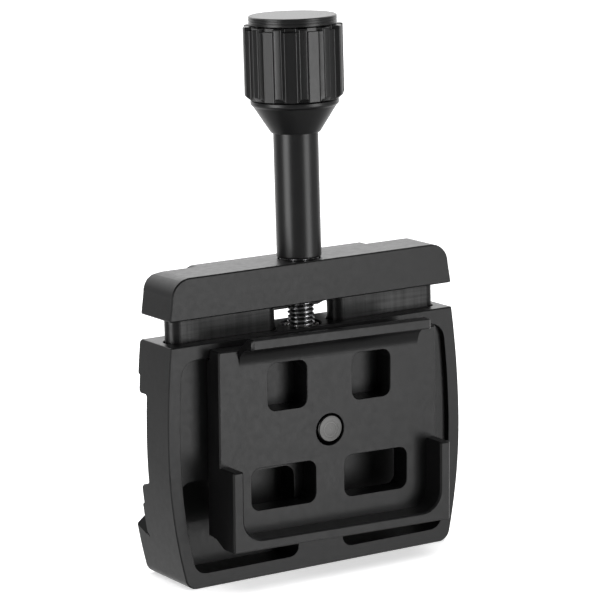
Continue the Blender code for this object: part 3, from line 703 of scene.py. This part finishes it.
# ------------------------------------------------------------------ adapter foot
foot_back = POCKET_D - GAP
foot_step = in_top - 0.9
plate_spec = [(-FOOT_HALF, PLATE_Z0, 0.35), (FOOT_HALF, PLATE_Z0, 0.35),
              (FOOT_HALF, PLATE_Z1, 0.35), (-FOOT_HALF, PLATE_Z1, 0.35)]
foot = loft("adapter_foot_fine", bevelled_ends(plate_spec, D(PLATE_FACE_D), D(foot_back),
                                               0.25, 0.15), "Y")
tools = [cut(prism("plate_step", [(D(-GAP), foot_step), (D(-GAP), 46.0), (D(3), 46.0),
                                  (D(3), foot_step)], "X", -30, 30))]

# U-shaped wall
outer = FOOT_HALF - 0.001
u_points = [(-outer, FOOT_Z0), (outer, FOOT_Z0), (outer, U_TOP_Z), (U_INNER_HALF, U_TOP_Z),
            (U_INNER_HALF, U_INNER_Z), (-U_INNER_HALF, U_INNER_Z), (-U_INNER_HALF, U_TOP_Z),
            (-outer, U_TOP_Z)]
u_spec = [(x, z, r) for (x, z), r in
          zip(u_points, (0.3, 0.3, 0.35, 0.35, U_CORNER_R, U_CORNER_R, 0.35, 0.35))]
wall = loft("u_wall", bevelled_ends(u_spec, D(FOOT_FRONT_D), D(-1.0), 0.3, 0.0), "Y")
tools.append(join(wall))
tools.append(cut(prism("lower_flank", [(D(-5.0), FOOT_Z0 - 0.004), (D(-1.9), PLATE_Z0),
                                       (D(3), PLATE_Z0 - 0.001), (D(3), 5.0), (D(-5.0), 5.0)],
                       "X", -30, 30)))


# bar with its fillet: a section carried along X, with chamfered ends
bar_front, bar_back = D(FOOT_FRONT_D), D(PLATE_FACE_D + 0.4)
fillet = arc(D(PLATE_FACE_D - BAR_FILLET), BAR_UNDER_Z - BAR_FILLET, BAR_FILLET, 90, 0, 14)
bar_loop = [(bar_front + 0.22, FOOT_Z1), (bar_front, FOOT_Z1 - 0.22),
            (bar_front, BAR_UNDER_Z + 0.25), (bar_front + 0.25, BAR_UNDER_Z)]
bar_loop += fillet[:-1] + [(D(PLATE_FACE_D), BAR_UNDER_Z - BAR_FILLET + 0.02),
                           (bar_back, BAR_UNDER_Z - BAR_FILLET + 0.02),
                           (bar_back, PLATE_Z1 - 0.02), (D(PLATE_FACE_D + 0.1), PLATE_Z1 - 0.02),
                           (D(-6.2), FOOT_Z1 - 0.2), (D(-6.5), FOOT_Z1)]


def toward_inside(loop, c):
    """The bar's section at its chamfered end: only the front and top draw back."""
    return [(max(y, bar_front + c) if y < D(-6.0) else y, min(z, FOOT_Z1 - c)) for y, z in loop]


ends = 0.45
tools.append(join(loft("bar", [(-BAR_HALF, toward_inside(bar_loop, ends)),
                               (-BAR_HALF + ends, bar_loop), (BAR_HALF - ends, bar_loop),
                               (BAR_HALF, toward_inside(bar_loop, ends))], "X")))

for x0, x1, z0, z1, rw in ((4.85, 13.15, 31.3, 40.05, 1.7), (3.1, 16.75, 13.3, 21.1, 1.7)):
    for sign in (1, -1):
        a, b = sorted((sign * x0, sign * x1))
        tools.append(cut(loft("window", mouth(rounded_rect(a, b, z0, z1, rw), D(PLATE_FACE_D),
                                              D(4), 0.16, D(-6)), "Y")))
tools.append(cut(revolve("foot_thread", [(0, D(4)), (2.96, D(4)), (2.96, D(PLATE_FACE_D + 0.1)),
                                         (3.06, D(PLATE_FACE_D)), (3.06, D(-6)), (0, D(-6))],
                         (0.0, FOOT_SCREW_Z), 64, "Y")))
combine(foot, tools)
about = Matrix.Translation((0.0, 0.0, FOOT_SCREW_Z))
foot.data.transform(Matrix.Translation((FOOT_SHIFT, 0.0, 0.0)) @ about
                    @ Matrix.Rotation(math.radians(FOOT_TURN), 4, "Y") @ about.inverted())
place(foot, foot_finish, "base", "adapter_foot")

# ------------------------------------------------------------------ foot screw
screw_end = [(0, D(7.75)), (4.75, D(7.75)), (4.95, D(7.65)), (5.0, D(7.45)), (5.0, D(4.8)),
             (2.7, D(4.8)), (2.7, D(-3.1)), (2.66, D(-3.25)), (2.44, D(-3.6)), (2.34, D(-3.67)),
             (1.2, D(-3.71)), (0, D(-3.72))]
foot_screw = revolve("foot_screw_fine", screw_end, (FOOT_SHIFT + 0.08, FOOT_SCREW_Z + 0.14),
                     72, "Y")
hexagon = [(FOOT_SHIFT + 2.5 / math.cos(math.radians(30)) * math.cos(math.radians(60 * k)),
            FOOT_SCREW_Z + 2.5 / math.cos(math.radians(30)) * math.sin(math.radians(60 * k)))
           for k in range(6)]
combine(foot_screw, [cut(prism("socket", hexagon, "Y", D(5.7), D(9)))], 30)
place(foot_screw, foot_screw_finish, "base", "foot_screw")

# ------------------------------------------------------------------ insert, clip, washer
insert = revolve("thread_insert_fine", rounded_polygon(
    [(2.8, 36.3), (3.3, 36.3), (3.3, 44.9), (2.8, 44.9)], [0.1, 0.12, 0.18, 0.2], 4),
    (0.0, D(SCREW_D)), 64)
place(insert, insert_finish, "base", "thread_insert")

washer = revolve("thrust_washer_fine", rounded_polygon(
    [(2.8, jaw_z1 - 0.55), (3.6, jaw_z1 - 0.55), (3.6, jaw_z1 - 0.05), (2.8, jaw_z1 - 0.05)],
    [0.05, 0.12, 0.12, 0.05], 3), (0.0, D(SCREW_D)), 96)
place(washer, washer_finish, "knob", "thrust_washer")

clip_z = jaw_z0 + 0.5
clip_loop = arc(0, D(SCREW_D), 3.6, -60, 240, 60) + \
    list(reversed(arc(0, D(SCREW_D), 2.3, -60, 240, 60)))
clip = loft("retaining_clip_fine", rounded_ends(clip_loop, clip_z, clip_z + 0.5, 0.08, 0.08, 2), "Z")
place(clip, clip_finish, "knob", "retaining_clip")


# ------------------------------------------------------------------ clamping screw
def thread_mesh():
    """M5 thread, 0.8 mm pitch, on a closed rod. The groove holds the clip."""
    cx, cy = 0.0, D(SCREW_D)
    per_turn, dz = 48, PITCH / 16
    minor = SCREW_R - 0.42
    z_end = jaw_z0 + 6.5
    levels = []
    z = SCREW_TIP_Z
    while z < z_end:
        levels.append(z)
        z += dz
    levels += [z_end, z_end + 0.3, 71.6]
    bm = bmesh.new()

    def radius(z, angle):
        if z >= z_end:
            return SCREW_R
        phase = (z / PITCH - angle / (2 * math.pi)) % 1.0
        tooth = 0.5 - 0.5 * math.cos(2 * math.pi * phase)   # 0 at the root, 1 at the crest
        full = minor + (SCREW_R - 0.02 - minor) * tooth
        lead = SCREW_TIP_Z + 1.0 - z
        if lead > 0:
            full = min(full, SCREW_R - 0.75 * lead)
        if clip_z - 0.25 < z < clip_z + 0.75:
            full = min(full, 2.0)
        return full

    rings = [[bm.verts.new((cx + radius(z, 2 * math.pi * k / per_turn)
                            * math.cos(2 * math.pi * k / per_turn),
                            cy + radius(z, 2 * math.pi * k / per_turn)
                            * math.sin(2 * math.pi * k / per_turn), z))
              for k in range(per_turn)] for z in levels]
    for a, b in zip(rings, rings[1:]):
        for k in range(per_turn):
            k2 = (k + 1) % per_turn
            bm.faces.new((a[k], a[k2], b[k2], b[k]))
    bm.faces.new(list(reversed(rings[0])))
    bm.faces.new(rings[-1])
    return new_object("clamp_screw_threaded", bm, 50)


clamp_screw = thread_mesh()
place(clamp_screw, screw_finish, "knob", "clamp_screw")

# ------------------------------------------------------------------ knob
stem_z0 = jaw_z1 + 0.3
stem_points = [
    (2.8, stem_z0, 0.0), (STEM_R - 0.05, stem_z0, 0.15), (STEM_R, stem_z0 + 0.35, 0.1),
    (STEM_R, 80.47, 0.06), (4.52, 80.47, 0.2), (7.60, 85.28, 0.15), (7.98, 85.62, 0.12),
    (8.06, 85.85, 0.08), (8.06, 86.36, 0.1), (7.9, 86.48, 0.03), (6.4, 86.48, 0.0),
    (6.4, 100.08, 0.0),
    (7.88, 100.08, 0.03), (8.02, 100.22, 0.05), (8.02, 100.66, 0.03), (7.96, 100.72, 0.02),
    (7.96, 100.80, 0.02), (8.02, 100.86, 0.03), (8.02, 101.14, 0.03), (7.97, 101.19, 0.02),
    (7.97, 101.27, 0.02), (8.02, 101.32, 0.03), (8.02, 101.54, 0.05), (7.86, KNOB_TOP_Z, 0.03),
    (0.0, KNOB_TOP_Z, 0.0), (0.0, 73.6, 0.0), (2.8, 72.1, 0.0),
]
stem = revolve("knob_stem_fine", rounded_polygon([p[:2] for p in stem_points],
                                                 [p[2] for p in stem_points], 5),
               (0.0, D(SCREW_D)), 144)
place(stem, stem_finish, "knob", "knob_stem")


FLOOR_R, FLOOR_HALF = 8.18, 0.88


def grip_loop():
    """Section of the grip: flat floors between ribs with a cove at their feet."""
    edge_angle = math.pi / FLUTES - math.atan2(FLOOR_HALF, FLOOR_R)
    edge_radius = math.hypot(FLOOR_HALF, FLOOR_R)
    foot_x, foot_y = edge_radius * math.sin(edge_angle), edge_radius * math.cos(edge_angle)
    side = [(0.0, GRIP_R), (0.26, GRIP_R - 0.004), (0.50, GRIP_R - 0.014)]
    side += [(0.50 + 0.28 * math.cos(math.radians(t)),
              GRIP_R - 0.294 + 0.28 * math.sin(math.radians(t))) for t in (72, 54, 36, 18, 4)]
    side += [(foot_x - 0.31, foot_y + 0.32)]
    side += [(foot_x - 0.27 * math.cos(math.radians(t)),
              foot_y + 0.27 - 0.27 * math.sin(math.radians(t))) for t in (12, 34, 56, 76)]
    side.append((foot_x + 0.02, foot_y))
    for t in (0.12, 0.4, 0.7):
        a = edge_angle + (math.pi / FLUTES - edge_angle) * t
        rr = FLOOR_R / math.cos(math.pi / FLUTES - a)
        side.append((rr * math.sin(a), rr * math.cos(a)))
    side.append((FLOOR_R * math.sin(math.pi / FLUTES), FLOOR_R * math.cos(math.pi / FLUTES)))
    period = [(-x, y) for x, y in reversed(side[1:])] + side[:-1]
    out = []
    for k in range(FLUTES):
        centre = math.radians(FLUTE_PHASE + VIEW_AZ - 90.0 + 360.0 * k / FLUTES)
        for x, y in period:
            out.append((math.atan2(x, y) + centre, math.hypot(x, y)))
    return out


def grip_mesh():
    z0, z1, inner = 86.56, 99.92, 6.7
    section = grip_loop()
    bm = bmesh.new()
    # limit: the turned outline that the ribs are cut from; drop: how far the
    # floors fall back near the top, under the cap
    levels = [(z0, 7.95, 0.0), (z0 + 0.04, 8.12, 0.0)]
    levels += [(z0 + 0.04 + 0.72 * t, 8.12 + 0.88 * (t ** 0.85), 0.0)
               for t in (0.12, 0.24, 0.36, 0.48, 0.6, 0.72, 0.82, 0.9, 0.96, 1.0)]
    levels += [(z0 + 0.95, 20.0, 0.0), (z1 - 0.70, 20.0, 0.0), (z1 - 0.62, 20.0, 0.03),
               (z1 - 0.58, 20.0, 0.12), (z1 - 0.56, 20.0, 0.55)]
    levels += [(z1 - 0.26 + 0.26 * math.sin(math.radians(t)),
                GRIP_R - 0.26 + 0.26 * math.cos(math.radians(t)), 0.57)
               for t in (0, 15, 30, 45, 60, 75, 90)]
    rings = []
    cy = D(SCREW_D)
    for z, limit, drop in levels:
        ring = []
        for a, r in section:
            low = min(1.0, max(0.0, (GRIP_R - 0.25 - r) / 0.30))
            radius = min(r - drop * low, limit)
            ring.append(bm.verts.new((radius * math.cos(a), cy + radius * math.sin(a), z)))
        rings.append(ring)
    for z in (z1, z0):
        rings.append([bm.verts.new((inner * math.cos(a), cy + inner * math.sin(a), z))
                      for a, r in section])
    count = len(section)
    for i in range(len(rings)):
        a, b = rings[i], rings[(i + 1) % len(rings)]
        for k in range(count):
            k2 = (k + 1) % count
            bm.faces.new((a[k], a[k2], b[k2], b[k]))
    return new_object("knob_grip_fluted", bm, 38)


grip = grip_mesh()
place(grip, grip_finish, "knob", "knob_grip")


# ------------------------------------------------------------------ return springs
def spring(name, x):
    z0, z1 = 27.3, jaw_z0 - 4.3
    wire, radius, turns, steps, sides = 0.22, 1.24, 9.5, 30, 12
    total = int(turns * steps)
    bm = bmesh.new()
    rings = []
    for i in range(total + 1):
        turn = i / total * turns
        if turn < 1:
            h = turn * 0.5
        elif turn > turns - 1:
            h = (z1 - z0 - 2 * wire) - (turns - turn) * 0.5
        else:
            h = 0.5 + (turn - 1) / (turns - 2) * ((z1 - z0 - 2 * wire) - 1.0)
        a = 2 * math.pi * turn
        centre = Vector((x + radius * math.cos(a), D(SCREW_D) + radius * math.sin(a), z0 + wire + h))
        out, up = Vector((math.cos(a), math.sin(a), 0)), Vector((0, 0, 1))
        rings.append([bm.verts.new(centre + out * (wire * math.cos(2 * math.pi * s / sides))
                                   + up * (wire * math.sin(2 * math.pi * s / sides)))
                      for s in range(sides)])
    for i in range(total):
        for s in range(sides):
            s2 = (s + 1) % sides
            bm.faces.new((rings[i][s], rings[i][s2], rings[i + 1][s2], rings[i + 1][s]))
    bm.faces.new(rings[0])
    bm.faces.new(list(reversed(rings[-1])))
    return new_object(name, bm, 50)


for side, x in (("left", -17.0), ("right", 17.0)):
    coil = spring("return_spring_%s_fine" % side, x)
    place(coil, wire_finish, None, "return_spring_" + side)
    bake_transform(coil)

# ------------------------------------------------------------------ stage
floor_material, tree, bsdf = base_material("pale_floor")
where = tree.nodes.new("ShaderNodeTexCoord").outputs["Object"]
tree.links.new(shade(tree, noise(tree, where, 6.0), (0.86, 0.86, 0.865), (0.88, 0.88, 0.885)),
               bsdf.inputs["Base Color"])
bsdf.inputs["Roughness"].default_value = 0.9
bsdf.inputs["Specular IOR Level"].default_value = 0.1
bsdf.inputs["Emission Color"].default_value = (1.0, 1.0, 1.0, 1.0)
bsdf.inputs["Emission Strength"].default_value = 0.55

bm = bmesh.new()
bmesh.ops.create_grid(bm, x_segments=8, y_segments=8, size=6.0)
floor = new_object("studio_floor", bm, None)
floor.data.materials.append(floor_material)

world = bpy.data.worlds.new("studio")
bpy.context.scene.world = world
world.use_nodes = True
sky = world.node_tree
background = sky.nodes["Background"]
background.inputs["Color"].default_value = (1.0, 1.0, 1.0, 1.0)


def toward(theta_deg, elevation_deg=0.0):
    a, e = math.radians(theta_deg), math.radians(elevation_deg)
    return Vector((math.cos(a) * math.cos(e), math.sin(a) * math.cos(e), math.sin(e)))


def sky_math(operation, a, b=None):
    node = sky.nodes.new("ShaderNodeMath")
    node.operation = operation
    for socket, value in zip(node.inputs, (a, b)):
        if value is None:
            continue
        if isinstance(value, (int, float)):
            socket.default_value = value
        else:
            sky.links.new(value, socket)
    return node.outputs["Value"]


def sky_step(value, lo, hi, low=0.0, high=1.0):
    node = sky.nodes.new("ShaderNodeMapRange")
    node.interpolation_type = "SMOOTHSTEP"
    node.inputs["From Min"].default_value = lo
    node.inputs["From Max"].default_value = hi
    node.inputs["To Min"].default_value = low
    node.inputs["To Max"].default_value = high
    sky.links.new(value, node.inputs["Value"])
    return node.outputs["Result"]


def sky_along(direction):
    node = sky.nodes.new("ShaderNodeVectorMath")
    node.operation = "DOT_PRODUCT"
    node.inputs[1].default_value = direction
    sky.links.new(ray, node.inputs[0])
    return node.outputs["Value"]


# A dim room, a white sweep behind and below the object.
ray = sky.nodes.new("ShaderNodeTexCoord").outputs["Generated"]
height = sky_along((0.0, 0.0, 1.0))
behind = sky_along(toward(62.0))
room = 0.075
upper = sky_math("MULTIPLY", sky_step(height, 0.05, 0.5, 0.0, 1.05),
                 sky_step(behind, -0.1, 0.75))
sweep = sky_math("MULTIPLY", sky_step(behind, 0.36, 0.985, 0.0, 1.37),
                 sky_step(height, -0.6, 0.1, 0.4, 1.0))
table = sky_math("MULTIPLY", sky_step(height, -0.75, 0.15, 0.84, 0.0),
                 sky_step(height, -0.9, -0.15, 0.3, 1.0))
beside = sky_math("MULTIPLY", sky_step(sky_along(toward(322.0)), 0.76, 0.99, 0.0, 0.22),
                  sky_step(height, 0.15, 0.55, 1.0, 0.0))
far_left = sky_math("MULTIPLY", sky_step(sky_along(toward(125.0)), 0.7, 0.98, 0.0, 0.35),
                    sky_step(height, -0.6, -0.22, 1.0, 0.0))
glow = sky_math("ADD", sky_math("ADD", upper, sweep),
                sky_math("ADD", sky_math("ADD", table, beside), sky_math("ADD", far_left, room)))
# the backdrop itself is white wherever the camera looks past the floor
ray = sky.nodes.new("ShaderNodeLightPath")
glow = sky_math("MAXIMUM", glow, ray.outputs["Is Camera Ray"])
sky.links.new(glow, background.inputs["Strength"])

CENTRE = Vector((0.0, 0.0, 0.05))


def softbox(name, theta, elevation, distance, width, height, power, glossy=True):
    light = bpy.data.lights.new(name, "AREA")
    light.shape = "RECTANGLE"
    light.size, light.size_y = width, height
    light.energy = power
    ob = bpy.data.objects.new(name, light)
    bpy.context.scene.collection.objects.link(ob)
    way = toward(theta, elevation)
    ob.location = CENTRE + way * distance
    ob.rotation_mode = "QUATERNION"
    ob.rotation_quaternion = way.to_track_quat("Z", "Y")
    ob.visible_camera = False
    ob.visible_glossy = glossy
    return ob


# two upright softboxes, left and right of the camera, and a wide one overhead
softbox("softbox_right", 294, 3, 0.55, 0.25, 0.5, 1.5)
softbox("softbox_left", 186, 3, 0.55, 0.28, 0.5, 2.05)
softbox("softbox_top", 58, 88, 1.6, 1.8, 1.8, 30.0, False)
floor.visible_glossy = False

# ------------------------------------------------------------------ camera
azimuth, elevation, roll = math.radians(-31.27), math.radians(11.09), math.radians(-1.61)
forward = Vector((-math.sin(azimuth) * math.cos(elevation),
                  math.cos(azimuth) * math.cos(elevation), -math.sin(elevation)))
right = Vector((math.cos(azimuth), math.sin(azimuth), 0.0))
up = right.cross(forward)
right2 = math.cos(roll) * right + math.sin(roll) * up
up2 = -math.sin(roll) * right + math.cos(roll) * up
target = Vector((-3.08, -3.4, 50.41)) * MM
camera_data = bpy.data.cameras.new("camera")
camera_data.sensor_width = 36.0
camera_data.sensor_fit = "HORIZONTAL"
camera_data.lens = 186.54
camera_data.clip_start, camera_data.clip_end = 0.02, 50.0
camera_data.dof.use_dof = False
camera = bpy.data.objects.new("camera", camera_data)
bpy.context.scene.collection.objects.link(camera)
rotation = Matrix((right2, up2, -forward)).transposed()
camera.matrix_world = Matrix.Translation(target - forward * 0.5646) @ rotation.to_4x4()
bpy.context.scene.camera = camera

scene = bpy.context.scene
scene.view_settings.view_transform = "Standard"
scene.view_settings.look = "None"
scene.view_settings.exposure = 0.0
scene.view_settings.gamma = 1.0
scene.cycles.use_denoising = True
scene.cycles.max_bounces = 8
